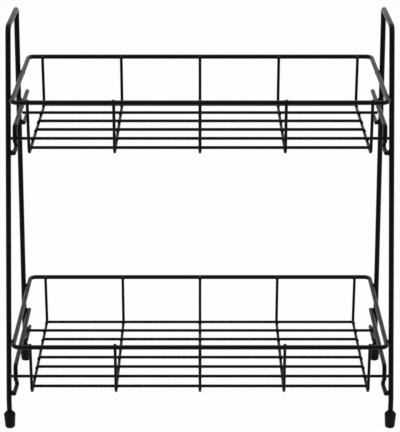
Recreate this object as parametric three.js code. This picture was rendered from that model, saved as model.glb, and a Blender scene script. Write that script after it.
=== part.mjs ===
// Two-tier wire spice rack: two A-shaped end frames on rubber feet carry two open wire baskets.
// Each basket lies by its rim on four short pegs, with the ends of its two long floor wires over the
// end frames' braces and stays. An end frame pulls off sideways, and the rack packs flat.
// Millimetres, +Z up, +X along the baskets, front towards -Y; origin on the table,
// midway between the feet.
import * as THREE from "three";

// Wire diameters
const LEG_WIRE = 5.4;
const RIM_WIRE = 4.6;
const BASKET_WIRE = 3.1;
const BRACE_WIRE = 4.6;
const STAY_WIRE = 4;
const PEG_WIRE = 3.4;

// Clearances: pieces that touch, and the rim's end to the legs' centres
const TOUCH = 0.3;
const RIM_TO_LEG = 6.3;

// End frames: wire centre to wire centre, at the feet and at the top bar
const FRAME_HEIGHT = 415;
const FRAME_SPACING_FOOT = 394.5;
const FRAME_SPACING_TOP = 373.5;
const LEG_SPREAD_FOOT = 160;
const LEG_SPREAD_TOP = 76;
const TOP_BEND = 6.5;
const LEG_END = 30;
const LEG_END_BEND = 60;

// Rubber feet
const FOOT_DIAMETER = 12;
const FOOT_TOP_DIAMETER = 7.8;
const FOOT_BASE_DIAMETER = 10.2;
const FOOT_HEIGHT = 18;
const FOOT_SHOULDER = 3.2;
const FOOT_EDGE = 1.2;
const FOOT_SOLE = 4;

// Baskets: heights are the rim's centre, depths and set-backs run front to back, a cross inset is from
// the rim's end to the first cross wire, and a stay runs on past its rear leg
const TIERS = {
  upper: { rimHeight: 349.5, depth: 170, setBack: 9, crossInset: 15, floorWires: 6, stayPastLeg: 23.5 },
  lower: { rimHeight: 97.5, depth: 182, setBack: -3, crossInset: 17, floorWires: 8, stayPastLeg: 8 },
};
const BASKET_WALL = 49.5;
const RIM_BEND = 6.5;
const CROSS_WIRES = 5;
const CROSS_BEND = 5;
const CROSS_BELOW_RIM = 0.5;
const FLOOR_INSET = 12;
const FLOOR_PAST_CROSS = 0.5;

// Side braces, rear stays and rim pegs that the end frames carry for each tier
const BRACE_RISE = 14;
const BRACE_SHORT_OF_RIM = 8;
const BRACE_AHEAD_OF_WIRE = 4.4;
const BRACE_TURN_DROP = 1.5;
const BRACE_KINK_PAST_WIRE = 1.4;
const BRACE_KINK_DROP = 8.4;
const BRACE_KINK_IN = 1.3;
const BRACE_FOOT_DROP = 9.6;
const BRACE_PAST_LEG = 3;
const BRACE_BEND = 3;
const STAY_DROP = 10;
const STAY_FRONT = 4;
const PEG_PAST_RIM = 1;

// Facets
const LEG_SIDES = 12;
const RIM_SIDES = 10;
const THIN_SIDES = 8;
const FOOT_SIDES = 24;
const BEND_STEPS = 4;

// Finishes
const coatedSteel = () => new THREE.MeshStandardMaterial({ color: 0x17171a, roughness: 0.42, metalness: 0.2 });
const rubber = () => new THREE.MeshStandardMaterial({ color: 0x141415, roughness: 0.7, metalness: 0 });

const at = (x, y, z) => new THREE.Vector3(x, y, z);

// A leg's centre line at a height: upright in the foot, then leaning in and closing up towards the top
function halfGap(atFoot, atTop, z) {
  const rise = Math.max(0, (z - LEG_END) / (FRAME_HEIGHT - LEG_END));
  return THREE.MathUtils.lerp(atFoot, atTop, rise) / 2;
}
const legX = (z) => halfGap(FRAME_SPACING_FOOT, FRAME_SPACING_TOP, z);
const legY = (z) => halfGap(LEG_SPREAD_FOOT, LEG_SPREAD_TOP, z);

// Y of each floor wire in its basket, front to back
function floorRows(tier) {
  const pitch = (tier.depth - 2 * FLOOR_INSET) / (tier.floorWires - 1);
  return Array.from({ length: tier.floorWires }, (_, i) => -tier.depth / 2 + FLOOR_INSET + i * pitch);
}

// A bent wire's centre line: straight runs between corners, each corner rounded to its bend radius
function bentLine(corners, bends) {
  const line = [corners[0]];
  for (let i = 1; i < corners.length - 1; i++) {
    const corner = corners[i];
    const bend = bends[i - 1];
    const back = corners[i - 1].clone().sub(corner).normalize();
    const on = corners[i + 1].clone().sub(corner).normalize();
    const half = back.angleTo(on) / 2;
    const middle = back.clone().add(on).normalize();
    const centre = corner.clone().addScaledVector(middle, bend / Math.sin(half));
    const spoke = corner.clone().addScaledVector(back, bend / Math.tan(half)).sub(centre);
    const axis = on.clone().cross(back).normalize();
    const turn = (Math.PI - 2 * half) / BEND_STEPS;
    for (let step = 0; step <= BEND_STEPS; step++) {
      line.push(spoke.clone().applyAxisAngle(axis, turn * step).add(centre));
    }
  }
  line.push(corners.at(-1));
  return line;
}

// A curve that steps from point to point of a bent line, so that a straight run takes one step
class WireLine extends THREE.Curve {
  constructor(points) {
    super();
    this.points = points;
  }
  getPoint(t) {
    const place = t * (this.points.length - 1);
    const i = Math.min(Math.floor(place), this.points.length - 2);
    return this.points[i].clone().lerp(this.points[i + 1], place - i);
  }
  getPointAt(u) {
    return this.getPoint(u);
  }
  getTangentAt(u) {
    const last = this.points.length - 1;
    const i = Math.round(u * last);
    const run = (k) => this.points[k + 1].clone().sub(this.points[k]).normalize();
    return run(Math.max(i - 1, 0)).add(run(Math.min(i, last - 1))).normalize();
  }
}

function addMesh(group, name, geometry, material) {
  const mesh = new THREE.Mesh(geometry, material);
  mesh.name = name;
  group.add(mesh);
  return mesh;
}

// A wire with two cut ends
function addWire(group, name, points, diameter, sides) {
  const section = new THREE.Shape();
  section.setFromPoints(
    Array.from({ length: sides }, (_, i) => {
      const angle = (2 * Math.PI * (i + 0.5)) / sides;
      return new THREE.Vector2(Math.cos(angle), Math.sin(angle)).multiplyScalar(diameter / 2);
    }),
  );
  const extrudePath = new WireLine(points);
  const steps = points.length - 1;
  const geometry = new THREE.ExtrudeGeometry(section, { steps, extrudePath, bevelEnabled: false });
  return addMesh(group, name, geometry, coatedSteel());
}

// A wire welded end to end into a loop
function addLoop(group, name, points, diameter, sides) {
  const geometry = new THREE.TubeGeometry(new WireLine(points), points.length - 1, diameter / 2, sides, true);
  return addMesh(group, name, geometry, coatedSteel());
}

// End frame: one heavy wire bent to an inverted U, its legs spreading down to upright ends
function addEndFrame(group, label, side) {
  const post = (z, sign) => at(side * legX(z), sign * legY(z), z);
  const legEnd = FOOT_SOLE + TOUCH;
  const corners = [
    post(legEnd, -1),
    post(LEG_END, -1),
    post(FRAME_HEIGHT, -1),
    post(FRAME_HEIGHT, 1),
    post(LEG_END, 1),
    post(legEnd, 1),
  ];
  const bends = [LEG_END_BEND, TOP_BEND, TOP_BEND, LEG_END_BEND];
  addWire(group, `${label}_end_frame`, bentLine(corners, bends), LEG_WIRE, LEG_SIDES);
}

// Foot: a turned rubber cap with a sloping shoulder and a blind bore for the leg's end
function addFoot(group, label, end, side, sign) {
  const bore = LEG_WIRE / 2 + TOUCH;
  const profile = [
    [0, 0],
    [FOOT_BASE_DIAMETER / 2 - FOOT_EDGE, 0],
    [FOOT_BASE_DIAMETER / 2, FOOT_EDGE],
    [FOOT_DIAMETER / 2, FOOT_HEIGHT - FOOT_SHOULDER],
    [FOOT_TOP_DIAMETER / 2, FOOT_HEIGHT],
    [bore, FOOT_HEIGHT],
    [bore, FOOT_SOLE],
    [0, FOOT_SOLE],
  ];
  const points = profile.map(([radius, height]) => new THREE.Vector2(radius, height));
  const geometry = new THREE.LatheGeometry(points, FOOT_SIDES).rotateX(Math.PI / 2);
  const foot = addMesh(group, `${label}_${end}_foot`, geometry, rubber());
  foot.position.set((side * FRAME_SPACING_FOOT) / 2, (sign * LEG_SPREAD_FOOT) / 2, 0);
}

// Side brace: a rail along both legs, turned down ahead of the front long floor wire, kinked back under
// that wire and ended on the front leg
function addBrace(group, label, side, tierName, tier) {
  const floor = tier.rimHeight - BASKET_WALL;
  const inset = (LEG_WIRE + BRACE_WIRE) / 2 + TOUCH;
  const beside = (y, z, further = 0) => at(side * (legX(z) - inset - further), y, z);
  const wire = tier.setBack + floorRows(tier)[1];
  const rail = floor + BRACE_RISE;
  const low = floor - BRACE_FOOT_DROP;
  const corners = [
    beside(tier.setBack + tier.depth / 2 - BRACE_SHORT_OF_RIM, rail),
    beside(wire - BRACE_AHEAD_OF_WIRE, rail),
    beside(wire - BRACE_AHEAD_OF_WIRE, floor - BRACE_TURN_DROP),
    beside(wire + BRACE_KINK_PAST_WIRE, floor - BRACE_KINK_DROP, BRACE_KINK_IN),
    beside(-legY(low) - BRACE_PAST_LEG, low),
  ];
  const line = bentLine(corners, [BRACE_BEND, BRACE_BEND, BRACE_BEND]);
  addWire(group, `${tierName}_${label}_brace`, line, BRACE_WIRE, THIN_SIDES);
}

// Rear stay: a short bar on the rear leg that passes under the rear long floor wire
function addStay(group, label, side, tierName, tier) {
  const height = tier.rimHeight - BASKET_WALL - STAY_DROP;
  const x = side * (legX(height) - (LEG_WIRE + STAY_WIRE) / 2 - TOUCH);
  const leg = legY(height);
  const wire = tier.setBack + floorRows(tier).at(-2);
  const from = Math.min(leg, wire) - STAY_FRONT;
  const to = leg + tier.stayPastLeg;
  addWire(group, `${tierName}_${label}_stay`, [at(x, from, height), at(x, to, height)], STAY_WIRE, THIN_SIDES);
}

// Rim peg: a short stub on the inside of a leg, ending under the rim that rests on it
function addPeg(group, label, end, side, sign, tierName, tier) {
  const height = tier.rimHeight - (RIM_WIRE + PEG_WIRE) / 2 - TOUCH;
  const y = sign * legY(height);
  const root = side * (legX(height) - LEG_WIRE / 2 - TOUCH);
  const tip = side * (legX(tier.rimHeight) - RIM_TO_LEG - PEG_PAST_RIM);
  const line = [at(root, y, height), at(tip, y, height)];
  addWire(group, `${tierName}_${label}_${end}_peg`, line, PEG_WIRE, THIN_SIDES);
}

// Basket, placed by its rim: a rim loop, U-shaped cross wires inside it, and floor wires lying on those
function addBasket(group, tierName, tier) {
  const basket = new THREE.Group();
  basket.position.set(0, tier.setBack, tier.rimHeight);
  group.add(basket);

  const [x, y] = [legX(tier.rimHeight) - RIM_TO_LEG, tier.depth / 2];
  const corners = [at(x, 0, 0), at(x, y, 0), at(-x, y, 0), at(-x, -y, 0), at(x, -y, 0), at(x, 0, 0)];
  const rim = bentLine(corners, [RIM_BEND, RIM_BEND, RIM_BEND, RIM_BEND]);
  addLoop(basket, `${tierName}_rim`, rim, RIM_WIRE, RIM_SIDES);

  const wall = y - (RIM_WIRE + BASKET_WIRE) / 2 - TOUCH;
  const top = RIM_WIRE / 2 - CROSS_BELOW_RIM;
  const under = -BASKET_WALL - BASKET_WIRE - TOUCH;
  const lastCross = x - tier.crossInset;
  const crossPitch = (2 * lastCross) / (CROSS_WIRES - 1);
  for (let i = 0; i < CROSS_WIRES; i++) {
    const along = i * crossPitch - lastCross;
    const front = [at(along, -wall, top), at(along, -wall, under)];
    const rear = [at(along, wall, under), at(along, wall, top)];
    const line = bentLine([...front, ...rear], [CROSS_BEND, CROSS_BEND]);
    addWire(basket, `${tierName}_cross_wire_${i + 1}`, line, BASKET_WIRE, THIN_SIDES);
  }

  // The second floor wire from the front runs on through the braces' kinks to the line of the legs, and the
  // second from the rear runs up to the legs
  const legLine = legX(tier.rimHeight - BASKET_WALL);
  const reaches = Array(tier.floorWires).fill(lastCross + FLOOR_PAST_CROSS);
  reaches[1] = legLine;
  reaches[tier.floorWires - 2] = legLine - LEG_WIRE / 2 - TOUCH;
  floorRows(tier).forEach((row, i) => {
    const reach = reaches[i];
    const line = [at(-reach, row, -BASKET_WALL), at(reach, row, -BASKET_WALL)];
    addWire(basket, `${tierName}_floor_wire_${i + 1}`, line, BASKET_WIRE, THIN_SIDES);
  });
}

const rack = new THREE.Group();
for (const [label, side] of [["left", -1], ["right", 1]]) {
  const frame = new THREE.Group();
  rack.add(frame);
  addEndFrame(frame, label, side);
  for (const [end, sign] of [["front", -1], ["rear", 1]]) {
    addFoot(frame, label, end, side, sign);
    for (const [name, tier] of Object.entries(TIERS)) addPeg(frame, label, end, side, sign, name, tier);
  }
  for (const [name, tier] of Object.entries(TIERS)) {
    addBrace(frame, label, side, name, tier);
    addStay(frame, label, side, name, tier);
  }
}
for (const [name, tier] of Object.entries(TIERS)) addBasket(rack, name, tier);

export default rack;
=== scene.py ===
# Tiered spice rack in black coated steel wire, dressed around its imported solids.
# Metres, +Z up, +X along the baskets, front towards -Y.
import math

import bmesh
import bpy
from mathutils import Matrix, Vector


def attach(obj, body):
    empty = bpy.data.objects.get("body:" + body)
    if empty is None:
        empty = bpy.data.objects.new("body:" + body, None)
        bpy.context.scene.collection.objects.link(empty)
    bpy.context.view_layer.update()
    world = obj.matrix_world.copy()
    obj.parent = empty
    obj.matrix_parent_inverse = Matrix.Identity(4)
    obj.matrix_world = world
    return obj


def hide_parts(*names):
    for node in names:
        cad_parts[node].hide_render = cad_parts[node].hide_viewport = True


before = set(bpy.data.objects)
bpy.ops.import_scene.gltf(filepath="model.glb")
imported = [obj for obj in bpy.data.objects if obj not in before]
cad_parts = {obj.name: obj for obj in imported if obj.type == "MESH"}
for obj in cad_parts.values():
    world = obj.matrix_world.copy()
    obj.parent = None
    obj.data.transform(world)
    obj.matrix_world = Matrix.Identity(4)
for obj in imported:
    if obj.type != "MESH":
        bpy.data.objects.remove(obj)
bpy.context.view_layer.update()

# End frames
# Each is one heavy steel wire bent to an inverted U. The top bar is the handle, and the legs lean in
# and spread down to upright ends. The frame is welded up first, then coated satin black all over.
LEG_WIRE = 0.0054
FRAME_HEIGHT = 0.415
FRAME_SPACING_FOOT = 0.3945
FRAME_SPACING_TOP = 0.3735
LEG_SPREAD_FOOT = 0.160
LEG_SPREAD_TOP = 0.076
TOP_BEND = 0.0065
LEG_END = 0.030
LEG_END_BEND = 0.060
LEG_STOP = 0.0043
LEG_SIDES = 28

# Bend steps and smooth angles are in degrees, and the reach round a ring's middle is in its radii.
BEND_STEP = 8
LEAST_BEND_STEPS = 3
SMOOTH_ANGLE = 40
MERGE_REACH = 1e-6
RING_REACH = 1.02

# The crown of a cut end, in wire radii: its depth, and the short run held straight before it.
# Each of its rings stands at a share of that depth and has a share of the wire's radius.
CROWN_DEPTH = 0.5
CROWN_HOLD = 0.3
CROWN_RINGS = ((0.45, 0.90), (0.85, 0.62), (1.00, 0.30))

COAT_BLACK = (0.0018, 0.0018, 0.0021, 1)
COAT_WORN = (0.0048, 0.0048, 0.0052, 1)
DUST_GREY = (0.0520, 0.0510, 0.0490, 1)


def deselect():
    """Leaves edit mode with nothing selected."""
    if bpy.context.mode != "OBJECT":
        bpy.ops.object.mode_set(mode="OBJECT")
    bpy.ops.object.select_all(action="DESELECT")


def ring_at(name, place, way, radius, sides):
    """A ring of wire section at a place, facing along the wire, left in edit mode."""
    deselect()
    facing = way.to_track_quat("Z", "Y").to_euler()
    bpy.ops.mesh.primitive_circle_add(vertices=sides, radius=radius, location=place, rotation=facing)
    piece = bpy.context.object
    piece.name = name
    piece.data.name = name
    bpy.ops.object.transform_apply(location=True, rotation=True, scale=True)
    bpy.ops.object.mode_set(mode="EDIT")
    bpy.ops.mesh.select_all(action="SELECT")
    return piece


def pick_ring(piece, middle, radius):
    """Selects the ring that lies round a middle, on a piece in edit mode."""
    mesh = bmesh.from_edit_mesh(piece.data)
    for vert in mesh.verts:
        vert.select = (vert.co - middle).length < radius * RING_REACH
    mesh.select_flush_mode()
    mesh.select_flush(True)
    bmesh.update_edit_mesh(piece.data)


def draw_ring(step, to_radius=None, from_radius=None, middle=None):
    """Draws the selected ring on by a step, and narrows or widens it about its middle."""
    bpy.ops.mesh.extrude_region_move(TRANSFORM_OT_translate={"value": step})
    if to_radius is not None:
        share = to_radius / from_radius
        bpy.ops.transform.resize(value=(share, share, share), center_override=middle)


def draw_wire(corners, bends, here):
    """Draws the selected ring along the runs and round the bends, up to the start of the last run."""
    ways = [(b - a).normalized() for a, b in zip(corners, corners[1:])]
    for i, bend in enumerate(bends):
        turn = ways[i].angle(ways[i + 1])
        steps = max(LEAST_BEND_STEPS, round(math.degrees(turn) / BEND_STEP))
        setback = bend * math.tan(turn / 2)
        run_end = corners[i + 1] - ways[i] * setback
        axis = ways[i].cross(ways[i + 1]).normalized()
        centre = run_end + axis.cross(ways[i]) * bend
        draw_ring(run_end - here)
        bpy.ops.mesh.spin(steps=steps, angle=-turn, center=centre, axis=axis)
        here = corners[i + 1] + ways[i + 1] * setback
    return here


def crown_end(tip, way, radius):
    """Closes the selected ring with a low crown that ends at the tip."""
    depth = radius * CROWN_DEPTH
    done = 0
    now = radius
    for rise, share in CROWN_RINGS:
        middle = tip - way * depth * (1 - rise)
        draw_ring(way * depth * (rise - done), radius * share, now, middle)
        done = rise
        now = radius * share
    bpy.ops.mesh.edge_face_add()


def close_mesh(piece, smooth_angle=SMOOTH_ANGLE):
    """Merges doubles, points the faces outwards and shades the piece smooth."""
    bpy.ops.mesh.select_all(action="SELECT")
    bpy.ops.mesh.remove_doubles(threshold=MERGE_REACH)
    bpy.ops.mesh.normals_make_consistent(inside=False)
    bpy.ops.object.mode_set(mode="OBJECT")
    bpy.ops.object.shade_smooth_by_angle(angle=math.radians(smooth_angle))
    return piece


def bent_wire(name, corners, bends, diameter, sides):
    """A wire drawn from its first corner to its last, with both cut ends crowned by the coating.

    A second ring close to each crown keeps the shading of the straight run even.
    """
    radius = diameter / 2
    crown = radius * CROWN_DEPTH
    hold = radius * CROWN_HOLD
    first = (corners[1] - corners[0]).normalized()
    last = (corners[-1] - corners[-2]).normalized()
    start = corners[0] + first * crown
    piece = ring_at(name, start, first, radius, sides)
    draw_ring(first * hold)
    here = draw_wire(corners, bends, corners[0] + first * (crown + hold))
    draw_ring(corners[-1] - last * (crown + hold) - here)
    draw_ring(last * hold)
    crown_end(corners[-1], last, radius)
    pick_ring(piece, start, radius)
    crown_end(corners[0], -first, radius)
    return close_mesh(piece)


def copy_of(piece, name):
    """A copy of a piece with its own mesh, left selected."""
    deselect()
    piece.select_set(True)
    bpy.context.view_layer.objects.active = piece
    bpy.ops.object.duplicate()
    twin = bpy.context.object
    twin.name = name
    twin.data.name = name
    return twin


def both_ends(right_piece):
    """A right-hand piece and a copy mirrored to the left end, each after the name of its side."""
    left_piece = copy_of(right_piece, right_piece.name.replace("right", "left"))
    left_piece.scale = (-1, 1, 1)
    bpy.ops.object.transform_apply(location=True, rotation=True, scale=True)
    bpy.ops.object.mode_set(mode="EDIT")
    bpy.ops.mesh.select_all(action="SELECT")
    bpy.ops.mesh.normals_make_consistent(inside=False)
    bpy.ops.object.mode_set(mode="OBJECT")
    return (("right", right_piece), ("left", left_piece))


def leg_gap(at_foot, at_top, z):
    """Half the gap between two legs at a height: even up to the legs' first bend, then narrowing."""
    rise = max(0.0, (z - LEG_END) / (FRAME_HEIGHT - LEG_END))
    return (at_foot + (at_top - at_foot) * rise) / 2


def leg_x(z):
    return leg_gap(FRAME_SPACING_FOOT, FRAME_SPACING_TOP, z)


def leg_y(z):
    return leg_gap(LEG_SPREAD_FOOT, LEG_SPREAD_TOP, z)


def leg_point(z, sign):
    return Vector((leg_x(z), sign * leg_y(z), z))


def group_of(name, inputs, outputs):
    """An empty shader node group with float inputs and outputs."""
    group = bpy.data.node_groups.new(name, "ShaderNodeTree")
    for title in inputs:
        group.interface.new_socket(title, in_out="INPUT", socket_type="NodeSocketFloat")
    for title in outputs:
        group.interface.new_socket(title, in_out="OUTPUT", socket_type="NodeSocketFloat")
    return group, group.nodes.new("NodeGroupInput"), group.nodes.new("NodeGroupOutput")


def math_node(nodes, operation):
    node = nodes.new("ShaderNodeMath")
    node.operation = operation
    return node


def coat_skin_group():
    """The skin of a sprayed or moulded surface: fine peel for bump, and broad mottling as a mask."""
    group, given, out = group_of("coat_skin", ["Peel Scale", "Mottle Scale"], ["Peel", "Mottle"])
    nodes = group.nodes
    links = group.links
    place = nodes.new("ShaderNodeTexCoord")
    peel = nodes.new("ShaderNodeTexNoise")
    peel.inputs["Detail"].default_value = 2.0
    peel.inputs["Roughness"].default_value = 0.45
    mottle = nodes.new("ShaderNodeTexNoise")
    mottle.inputs["Detail"].default_value = 4.0
    mottle.inputs["Roughness"].default_value = 0.6
    spread = nodes.new("ShaderNodeMapRange")
    spread.inputs["From Min"].default_value = 0.32
    spread.inputs["From Max"].default_value = 0.70
    links.new(place.outputs["Object"], peel.inputs["Vector"])
    links.new(place.outputs["Object"], mottle.inputs["Vector"])
    links.new(given.outputs["Peel Scale"], peel.inputs["Scale"])
    links.new(given.outputs["Mottle Scale"], mottle.inputs["Scale"])
    links.new(mottle.outputs["Fac"], spread.inputs["Value"])
    links.new(peel.outputs["Fac"], out.inputs["Peel"])
    links.new(spread.outputs["Result"], out.inputs["Mottle"])
    return group


def settled_dust_group():
    """Dust that settles on what faces up, thinner where it has been touched."""
    group, given, out = group_of("settled_dust", ["Amount"], ["Dust"])
    nodes = group.nodes
    links = group.links
    place = nodes.new("ShaderNodeTexCoord")
    shape = nodes.new("ShaderNodeNewGeometry")
    split = nodes.new("ShaderNodeSeparateXYZ")
    facing = nodes.new("ShaderNodeMapRange")
    facing.inputs["From Min"].default_value = 0.35
    facing.inputs["From Max"].default_value = 1.0
    patch = nodes.new("ShaderNodeTexNoise")
    patch.inputs["Scale"].default_value = 45.0
    patch.inputs["Detail"].default_value = 6.0
    patchy = math_node(nodes, "MULTIPLY")
    total = math_node(nodes, "MULTIPLY")
    links.new(shape.outputs["Normal"], split.inputs["Vector"])
    links.new(split.outputs["Z"], facing.inputs["Value"])
    links.new(place.outputs["Object"], patch.inputs["Vector"])
    links.new(facing.outputs["Result"], patchy.inputs[0])
    links.new(patch.outputs["Fac"], patchy.inputs[1])
    links.new(patchy.outputs["Value"], total.inputs[0])
    links.new(given.outputs["Amount"], total.inputs[1])
    links.new(total.outputs["Value"], out.inputs["Dust"])
    return group


coat_skin = coat_skin_group()
settled_dust = settled_dust_group()


def dark_finish(
    name,
    deep,
    light,
    smooth,
    rough,
    peel_scale,
    peel_height,
    mottle_scale,
    dust_amount,
    gloss,
    face_gloss,
):
    """A black finish with peel, mottling and a little dust; each finish passes its own values."""
    material = bpy.data.materials.new(name)
    material.use_nodes = True
    material.diffuse_color = light
    nodes = material.node_tree.nodes
    links = material.node_tree.links
    shader = nodes["Principled BSDF"]
    shader.inputs["Specular IOR Level"].default_value = gloss
    shader.inputs["Specular Tint"].default_value = (face_gloss, face_gloss, face_gloss, 1)
    skin = nodes.new("ShaderNodeGroup")
    skin.node_tree = coat_skin
    skin.inputs["Peel Scale"].default_value = peel_scale
    skin.inputs["Mottle Scale"].default_value = mottle_scale
    dust = nodes.new("ShaderNodeGroup")
    dust.node_tree = settled_dust
    dust.inputs["Amount"].default_value = dust_amount
    tone = nodes.new("ShaderNodeMix")
    tone.data_type = "RGBA"
    tone.inputs["A"].default_value = deep
    tone.inputs["B"].default_value = light
    dusty = nodes.new("ShaderNodeMix")
    dusty.data_type = "RGBA"
    dusty.inputs["B"].default_value = DUST_GREY
    sheen = nodes.new("ShaderNodeMapRange")
    sheen.inputs["To Min"].default_value = smooth
    sheen.inputs["To Max"].default_value = rough
    dulled = math_node(nodes, "ADD")
    bump = nodes.new("ShaderNodeBump")
    bump.inputs["Strength"].default_value = 0.6
    bump.inputs["Distance"].default_value = peel_height
    links.new(skin.outputs["Mottle"], tone.inputs["Factor"])
    links.new(tone.outputs["Result"], dusty.inputs["A"])
    links.new(dust.outputs["Dust"], dusty.inputs["Factor"])
    links.new(dusty.outputs["Result"], shader.inputs["Base Color"])
    links.new(skin.outputs["Mottle"], sheen.inputs["Value"])
    links.new(sheen.outputs["Result"], dulled.inputs[0])
    links.new(dust.outputs["Dust"], dulled.inputs[1])
    links.new(dulled.outputs["Value"], shader.inputs["Roughness"])
    links.new(skin.outputs["Peel"], bump.inputs["Height"])
    links.new(bump.outputs["Normal"], shader.inputs["Normal"])
    return material


wire_coat = dark_finish(
    "wire_coat",
    COAT_BLACK,
    COAT_WORN,
    smooth=0.30,
    rough=0.40,
    peel_scale=700.0,
    peel_height=0.00001,
    mottle_scale=70.0,
    dust_amount=0.08,
    gloss=0.20,
    face_gloss=0.20,
)


def fit_out(piece, body, slot, finish, *nodes):
    """Gives a piece its finish and its place in the assembly."""
    piece.data.materials.clear()
    piece.data.materials.append(finish)
    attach(piece, body)
    if nodes:
        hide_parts(*nodes)


frame_line = [
    leg_point(LEG_STOP, -1),
    leg_point(LEG_END, -1),
    leg_point(FRAME_HEIGHT, -1),
    leg_point(FRAME_HEIGHT, 1),
    leg_point(LEG_END, 1),
    leg_point(LEG_STOP, 1),
]
frame_bends = [LEG_END_BEND, TOP_BEND, TOP_BEND, LEG_END_BEND]
right_frame = bent_wire("right_frame_wire", frame_line, frame_bends, LEG_WIRE, LEG_SIDES)
for side, frame_wire in both_ends(right_frame):
    fit_out(frame_wire, f"{side}_end", "coated_wire", wire_coat, f"{side}_end_frame")

# Feet
# Moulded rubber caps, pushed on the upright ends of the legs. The sides widen towards a sloping
# shoulder, a thin lip grips the wire, and the sole has a shallow hollow inside its standing ring.
FOOT_PROFILE = [
    (0.0010, 0.0006),
    (0.0026, 0.0006),
    (0.0030, 0.0000),
    (0.0038, 0.0000),
    (0.0044, 0.0002),
    (0.0049, 0.0007),
    (0.0051, 0.0014),
    (0.0059, 0.0138),
    (0.0060, 0.0145),
    (0.0059, 0.0151),
    (0.0056, 0.0156),
    (0.0042, 0.0172),
    (0.0039, 0.0175),
    (0.0036, 0.0176),
    (0.0035, 0.0180),
    (0.0031, 0.0180),
    (0.00278, 0.0177),
    (0.00278, 0.0040),
    (0.0010, 0.0040),
]
FOOT_SIDES = 40
FOOT_SMOOTH_ANGLE = 50
LEG_ROWS = (("front", -1), ("rear", 1))
RUBBER_BLACK = (0.0030, 0.0030, 0.0031, 1)
RUBBER_GREY = (0.0070, 0.0070, 0.0070, 1)

foot_rubber = dark_finish(
    "foot_rubber",
    RUBBER_BLACK,
    RUBBER_GREY,
    smooth=0.58,
    rough=0.74,
    peel_scale=1600.0,
    peel_height=0.00003,
    mottle_scale=70.0,
    dust_amount=0.16,
    gloss=0.18,
    face_gloss=0.22,
)


def turned_cap(name, profile, centre, sides):
    """A cap drawn ring by ring along its profile, from the sole up the outside and down the bore."""
    radius, height = profile[0]
    middle = centre + Vector((0, 0, height))
    piece = ring_at(name, middle, Vector((0, 0, 1)), radius, sides)
    bpy.ops.mesh.edge_face_add()
    bpy.ops.mesh.select_all(action="SELECT")
    bpy.ops.mesh.region_to_loop()
    for next_radius, next_height in profile[1:]:
        middle = centre + Vector((0, 0, next_height))
        draw_ring(Vector((0, 0, next_height - height)), next_radius, radius, middle)
        radius, height = next_radius, next_height
    bpy.ops.mesh.edge_face_add()
    return close_mesh(piece, FOOT_SMOOTH_ANGLE)


for row, sign in LEG_ROWS:
    standing = Vector((FRAME_SPACING_FOOT / 2, sign * LEG_SPREAD_FOOT / 2, 0))
    right_foot = turned_cap(f"right_{row}_rubber_foot", FOOT_PROFILE, standing, FOOT_SIDES)
    for side, foot in both_ends(right_foot):
        fit_out(foot, f"{side}_end", "rubber_foot", foot_rubber, f"{side}_{row}_foot")

# Side braces
# One bent wire at each end of each tier, welded to both legs on the inside. A rail runs forward over
# the long floor wires, turns down ahead of the front one, kinks back under it and ends on the front leg.
TIERS = {
    "upper": {
        "rim": 0.3495,
        "depth": 0.170,
        "set_back": 0.009,
        "cross_inset": 0.015,
        "floor_wires": 6,
        "stay_past_leg": 0.0235,
    },
    "lower": {
        "rim": 0.0975,
        "depth": 0.182,
        "set_back": -0.003,
        "cross_inset": 0.017,
        "floor_wires": 8,
        "stay_past_leg": 0.008,
    },
}
BASKET_WALL = 0.0495
FLOOR_INSET = 0.012
TOUCH = 0.0003
BRACE_WIRE = 0.0046
BRACE_RISE = 0.014
BRACE_SHORT_OF_RIM = 0.008
BRACE_AHEAD_OF_WIRE = 0.0044
BRACE_TURN_DROP = 0.0015
BRACE_KINK_PAST_WIRE = 0.0014
BRACE_KINK_DROP = 0.0084
BRACE_KINK_IN = 0.0013
BRACE_FOOT_DROP = 0.0096
BRACE_PAST_LEG = 0.003
BRACE_BEND = 0.003
THIN_SIDES = 18


def floor_height(tier):
    return tier["rim"] - BASKET_WALL


def floor_rows(tier):
    """Y of each floor wire, front to back."""
    span = tier["depth"] - 2 * FLOOR_INSET
    pitch = span / (tier["floor_wires"] - 1)
    return [tier["set_back"] - span / 2 + i * pitch for i in range(tier["floor_wires"])]


def beside_leg(wire, y, z, further=0):
    """A point on a wire that touches the inside of a right-hand leg, or runs further in."""
    return Vector((leg_x(z) - (LEG_WIRE + wire) / 2 - TOUCH - further, y, z))


for tier_name, tier in TIERS.items():
    floor = floor_height(tier)
    long_row = floor_rows(tier)[1]
    turn_down = long_row - BRACE_AHEAD_OF_WIRE
    kink = long_row + BRACE_KINK_PAST_WIRE
    rail = floor + BRACE_RISE
    low = floor - BRACE_FOOT_DROP
    rail_end = tier["set_back"] + tier["depth"] / 2 - BRACE_SHORT_OF_RIM
    brace_line = [
        beside_leg(BRACE_WIRE, rail_end, rail),
        beside_leg(BRACE_WIRE, turn_down, rail),
        beside_leg(BRACE_WIRE, turn_down, floor - BRACE_TURN_DROP),
        beside_leg(BRACE_WIRE, kink, floor - BRACE_KINK_DROP, BRACE_KINK_IN),
        beside_leg(BRACE_WIRE, -leg_y(low) - BRACE_PAST_LEG, low),
    ]
    name = f"{tier_name}_right_brace_wire"
    right_brace = bent_wire(name, brace_line, [BRACE_BEND] * 3, BRACE_WIRE, THIN_SIDES)
    for side, brace in both_ends(right_brace):
        fit_out(brace, f"{side}_end", "coated_wire", wire_coat, f"{tier_name}_{side}_brace")

# Rear stays
# A short straight wire at each end of each tier, welded on the inside of the rear leg. It passes under
# the end of the rear long floor wire.
STAY_WIRE = 0.0040
STAY_DROP = 0.010
STAY_FRONT = 0.004

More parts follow.
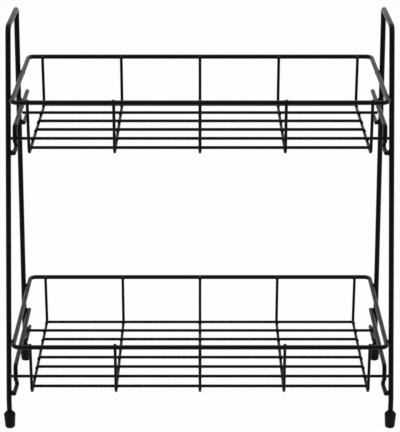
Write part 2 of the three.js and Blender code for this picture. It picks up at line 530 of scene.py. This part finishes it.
for tier_name, tier in TIERS.items():
    height = floor_height(tier) - STAY_DROP
    rear_leg = leg_y(height)
    long_row = floor_rows(tier)[-2]
    stay_line = [
        beside_leg(STAY_WIRE, min(rear_leg, long_row) - STAY_FRONT, height),
        beside_leg(STAY_WIRE, rear_leg + tier["stay_past_leg"], height),
    ]
    right_stay = bent_wire(f"{tier_name}_right_stay_wire", stay_line, [], STAY_WIRE, THIN_SIDES)
    for side, stay in both_ends(right_stay):
        fit_out(stay, f"{side}_end", "coated_wire", wire_coat, f"{tier_name}_{side}_stay")

# Rim pegs
# Short stubs of wire butt-welded to the inside of the legs. A basket's rim lies across four of them, and
# they slide out from under it when an end frame is pulled off sideways.
PEG_WIRE = 0.0034
PEG_PAST_RIM = 0.001
RIM_WIRE = 0.0046
RIM_TO_LEG = 0.0063


def rim_side(tier):
    """X of the right side of a rim."""
    return leg_x(tier["rim"]) - RIM_TO_LEG


def peg_height(tier):
    return tier["rim"] - (RIM_WIRE + PEG_WIRE) / 2 - TOUCH


for tier_name, tier in TIERS.items():
    height = peg_height(tier)
    root = leg_x(height) - LEG_WIRE / 2 - TOUCH
    tip = rim_side(tier) - PEG_PAST_RIM
    for row, sign in LEG_ROWS:
        y = sign * leg_y(height)
        peg_line = [Vector((root, y, height)), Vector((tip, y, height))]
        right_peg = bent_wire(f"{tier_name}_right_{row}_peg_wire", peg_line, [], PEG_WIRE, THIN_SIDES)
        for side, peg in both_ends(right_peg):
            fit_out(peg, f"{side}_end", "coated_wire", wire_coat, f"{tier_name}_{side}_{row}_peg")

# Rims
# One wire bent to a rectangle with rounded corners, its two ends butt-welded in the middle of the right
# side. The rim is the top edge of a basket and rests on the pegs.
RIM_BEND = 0.0065
RIM_SIDES = 22


def loop_wire(name, corners, bends, diameter, sides):
    """A wire drawn round a closed line, back to the ring that it starts from."""
    first = (corners[1] - corners[0]).normalized()
    piece = ring_at(name, corners[0], first, diameter / 2, sides)
    here = draw_wire(corners, bends, corners[0])
    draw_ring(corners[-1] - here)
    return close_mesh(piece)


for tier_name, tier in TIERS.items():
    x = rim_side(tier)
    front = tier["set_back"] - tier["depth"] / 2
    rear = tier["set_back"] + tier["depth"] / 2
    z = tier["rim"]
    rim_line = [
        Vector((x, tier["set_back"], z)),
        Vector((x, rear, z)),
        Vector((-x, rear, z)),
        Vector((-x, front, z)),
        Vector((x, front, z)),
        Vector((x, tier["set_back"], z)),
    ]
    rim = loop_wire(f"{tier_name}_rim_wire", rim_line, [RIM_BEND] * 4, RIM_WIRE, RIM_SIDES)
    fit_out(rim, "baskets", "coated_wire", wire_coat, f"{tier_name}_rim")

# Cross wires
# U-shaped wires that make the walls and carry the floor. Each stands inside the rim and is
# resistance-welded to it front and rear, with its tops just under the rim's top.
BASKET_WIRE = 0.0031
CROSS_WIRES = 5
CROSS_BEND = 0.005
CROSS_BELOW_RIM = 0.0005


def moved_copy(piece, name, move):
    """A copy of a piece, moved within its own mesh."""
    twin = copy_of(piece, name)
    bpy.ops.transform.translate(value=move)
    bpy.ops.object.transform_apply(location=True, rotation=True, scale=True)
    return twin


def cross_rows(tier):
    """X of each cross wire, left to right."""
    last = rim_side(tier) - tier["cross_inset"]
    return [last * (2 * i / (CROSS_WIRES - 1) - 1) for i in range(CROSS_WIRES)]


for tier_name, tier in TIERS.items():
    stand_off = tier["depth"] / 2 - (RIM_WIRE + BASKET_WIRE) / 2 - TOUCH
    front = tier["set_back"] - stand_off
    rear = tier["set_back"] + stand_off
    under = floor_height(tier) - BASKET_WIRE - TOUCH
    top = tier["rim"] + RIM_WIRE / 2 - CROSS_BELOW_RIM
    rows = cross_rows(tier)
    cross_line = [
        Vector((rows[0], front, top)),
        Vector((rows[0], front, under)),
        Vector((rows[0], rear, under)),
        Vector((rows[0], rear, top)),
    ]
    name = f"{tier_name}_cross_1"
    cross_wires = [bent_wire(name, cross_line, [CROSS_BEND] * 2, BASKET_WIRE, THIN_SIDES)]
    for i in range(1, CROSS_WIRES):
        step = Vector((rows[i] - rows[0], 0, 0))
        cross_wires.append(moved_copy(cross_wires[0], f"{tier_name}_cross_{i + 1}", step))
    for i, cross_wire in enumerate(cross_wires):
        node = f"{tier_name}_cross_wire_{i + 1}"
        fit_out(cross_wire, "baskets", "coated_wire", wire_coat, node)

# Floor wires
# Straight wires lying on the cross wires and welded at each crossing. The second from the front lies in
# the braces' kinks, the second from the rear runs up to the legs, and the others stop at the last cross
# wires. Wires of one length are copies of the first of them.
FLOOR_PAST_CROSS = 0.0005

for tier_name, tier in TIERS.items():
    floor = floor_height(tier)
    rows = floor_rows(tier)
    reaches = [cross_rows(tier)[-1] + FLOOR_PAST_CROSS] * len(rows)
    reaches[1] = leg_x(floor)
    reaches[-2] = leg_x(floor) - LEG_WIRE / 2 - TOUCH
    patterns = {}
    floor_wires = []
    for i, (row, reach) in enumerate(zip(rows, reaches)):
        name = f"{tier_name}_floor_{i + 1}"
        if reach in patterns:
            pattern, pattern_row = patterns[reach]
            floor_wire = moved_copy(pattern, name, Vector((0, row - pattern_row, 0)))
        else:
            line = [Vector((-reach, row, floor)), Vector((reach, row, floor))]
            floor_wire = bent_wire(name, line, [], BASKET_WIRE, THIN_SIDES)
            patterns[reach] = (floor_wire, row)
        floor_wires.append(floor_wire)
    for i, floor_wire in enumerate(floor_wires):
        node = f"{tier_name}_floor_wire_{i + 1}"
        fit_out(floor_wire, "baskets", "coated_wire", wire_coat, node)

# Welds
# Where wires cross they are pressed together and resistance-welded, which leaves a small pillow of
# metal in the corners of the crossing, rounded over by the coating.
FLOOR_WELD = (0.0015, 0.0018, 0.0011)
RIM_WELD = (0.0018, 0.0011, 0.0020)
LEG_WELD = (0.0013, 0.0022, 0.0022)
WELD_CUTS = 2
WELD_ROUNDING = 0.8


def weld_pillows(name, half_sizes, places):
    """One pillow, rounded from a cube of half-size one and copied in its mesh to each place."""
    deselect()
    bpy.ops.mesh.primitive_cube_add(size=2, location=(0, 0, 0))
    piece = bpy.context.object
    piece.name = name
    piece.data.name = name
    bpy.ops.object.mode_set(mode="EDIT")
    bpy.ops.mesh.select_all(action="SELECT")
    bpy.ops.mesh.subdivide(number_cuts=WELD_CUTS)
    bpy.ops.transform.tosphere(value=WELD_ROUNDING)
    bpy.ops.transform.resize(value=half_sizes, center_override=(0, 0, 0))
    bpy.ops.transform.translate(value=places[0])
    for before, after in zip(places, places[1:]):
        bpy.ops.mesh.duplicate_move(TRANSFORM_OT_translate={"value": after - before})
    bpy.ops.object.mode_set(mode="OBJECT")
    bpy.ops.object.shade_smooth()
    return piece


def leg_weld_place(height, sign):
    """The middle of the joint between a right-hand leg and a wire on its inside."""
    return Vector((leg_x(height) - (LEG_WIRE + TOUCH) / 2, sign * leg_y(height), height))


leg_places = []
for tier in TIERS.values():
    floor = floor_height(tier)
    leg_places += [
        leg_weld_place(floor + BRACE_RISE, 1),
        leg_weld_place(floor - BRACE_FOOT_DROP, -1),
        leg_weld_place(floor - STAY_DROP, 1),
        leg_weld_place(peg_height(tier), -1),
        leg_weld_place(peg_height(tier), 1),
    ]
right_welds = weld_pillows("right_leg_welds", LEG_WELD, leg_places)
for side, leg_welds in both_ends(right_welds):
    fit_out(leg_welds, f"{side}_end", "coated_wire", wire_coat)

for tier_name, tier in TIERS.items():
    floor_weld = floor_height(tier) - (BASKET_WIRE + TOUCH) / 2
    rim_weld = tier["depth"] / 2 - (RIM_WIRE + TOUCH) / 2
    floor_places = []
    rim_places = []
    for x in cross_rows(tier):
        for y in floor_rows(tier):
            floor_places.append(Vector((x, y, floor_weld)))
        for sign in (-1, 1):
            rim_places.append(Vector((x, tier["set_back"] + sign * rim_weld, tier["rim"])))
    floor_welds = weld_pillows(f"{tier_name}_floor_welds", FLOOR_WELD, floor_places)
    rim_welds = weld_pillows(f"{tier_name}_rim_welds", RIM_WELD, rim_places)
    fit_out(floor_welds, "baskets", "coated_wire", wire_coat)
    fit_out(rim_welds, "baskets", "coated_wire", wire_coat)

# Studio floor
# A wide pale sheet under the rack. It reads white to the camera and to reflections, and still takes
# the soft shadow of the wires.
FLOOR_SIZE = 12
FLOOR_DROP = 0.0002
FLOOR_WHITE = (0.90, 0.90, 0.90, 1)
FLOOR_GLOW = 0.95


def white_rays(tree):
    """One for the rays that show the background itself: seen, mirrored or passed through."""
    rays = tree.nodes.new("ShaderNodeLightPath")
    mirrored_too = math_node(tree.nodes, "MAXIMUM")
    passed_too = math_node(tree.nodes, "MAXIMUM")
    tree.links.new(rays.outputs["Is Camera Ray"], mirrored_too.inputs[0])
    tree.links.new(rays.outputs["Is Glossy Ray"], mirrored_too.inputs[1])
    tree.links.new(mirrored_too.outputs["Value"], passed_too.inputs[0])
    tree.links.new(rays.outputs["Is Transmission Ray"], passed_too.inputs[1])
    return passed_too.outputs["Value"]


deselect()
bpy.ops.mesh.primitive_plane_add(size=FLOOR_SIZE, location=(0, 0, -FLOOR_DROP))
studio_floor = bpy.context.object
studio_floor.name = "studio_floor"
bpy.ops.object.transform_apply(location=True, rotation=True, scale=True)
floor_paper = bpy.data.materials.new("floor_paper")
floor_paper.use_nodes = True
nodes = floor_paper.node_tree.nodes
links = floor_paper.node_tree.links
paper = nodes["Principled BSDF"]
paper.inputs["Base Color"].default_value = FLOOR_WHITE
paper.inputs["Roughness"].default_value = 0.9
paper.inputs["Specular IOR Level"].default_value = 0.0
glow = nodes.new("ShaderNodeEmission")
glow.inputs["Strength"].default_value = 1.0
share = math_node(nodes, "MULTIPLY")
share.inputs[1].default_value = FLOOR_GLOW
blend = nodes.new("ShaderNodeMixShader")
links.new(white_rays(floor_paper.node_tree), share.inputs[0])
links.new(share.outputs["Value"], blend.inputs["Fac"])
links.new(paper.outputs["BSDF"], blend.inputs[1])
links.new(glow.outputs["Emission"], blend.inputs[2])
links.new(blend.outputs["Shader"], nodes["Material Output"].inputs["Surface"])
studio_floor.data.materials.append(floor_paper)

# Studio light
# A plain white room with a large soft box overhead and two weaker ones in front, so that the tops of the
# wires carry a soft grey line. Each box has its name, place, target, size and power.
ROOM_WHITE = (1, 1, 1, 1)
ROOM_LEVEL = 0.45
SOFT_BOXES = [
    ("overhead_box", (0.0, 0.15, 1.9), (0.0, 0.05, 0.2), 1.6, 16.0),
    ("left_box", (-1.6, -1.3, 1.3), (0.0, 0.0, 0.2), 0.9, 9.0),
    ("right_box", (1.7, -1.1, 1.2), (0.0, 0.0, 0.2), 0.9, 7.0),
]

room = bpy.data.worlds.new("studio_room")
bpy.context.scene.world = room
room.use_nodes = True
nodes = room.node_tree.nodes
links = room.node_tree.links
backdrop = nodes["Background"]
backdrop.inputs["Color"].default_value = ROOM_WHITE
level = math_node(nodes, "MAXIMUM")
level.inputs[1].default_value = ROOM_LEVEL
links.new(white_rays(room.node_tree), level.inputs[0])
links.new(level.outputs["Value"], backdrop.inputs["Strength"])

for name, place, target, size, power in SOFT_BOXES:
    deselect()
    aim = (Vector(target) - Vector(place)).to_track_quat("-Z", "Y").to_euler()
    bpy.ops.object.light_add(type="AREA", location=place, rotation=aim)
    lamp = bpy.context.object
    lamp.name = name
    lamp.data.size = size
    lamp.data.energy = power

# Camera
# A long lens from the front, held well above the top bars and pitched down on both floors. Its focal
# length is given in pixels of a picture that is so many pixels tall.
FRAME_TALL = 432
FOCAL_PIXELS = 1600
SENSOR = 36.0
CAMERA_PLACE = (0.0, -1.5581, 0.7947)
CAMERA_PITCH = 20.77

deselect()
tilt = math.radians(90 - CAMERA_PITCH)
bpy.ops.object.camera_add(location=CAMERA_PLACE, rotation=(tilt, 0, 0))
camera = bpy.context.object
camera.name = "studio_camera"
camera.data.sensor_fit = "VERTICAL"
camera.data.sensor_height = SENSOR
camera.data.lens = FOCAL_PIXELS * SENSOR / FRAME_TALL
bpy.context.scene.camera = camera
bpy.context.scene.view_settings.view_transform = "Standard"

deselect()
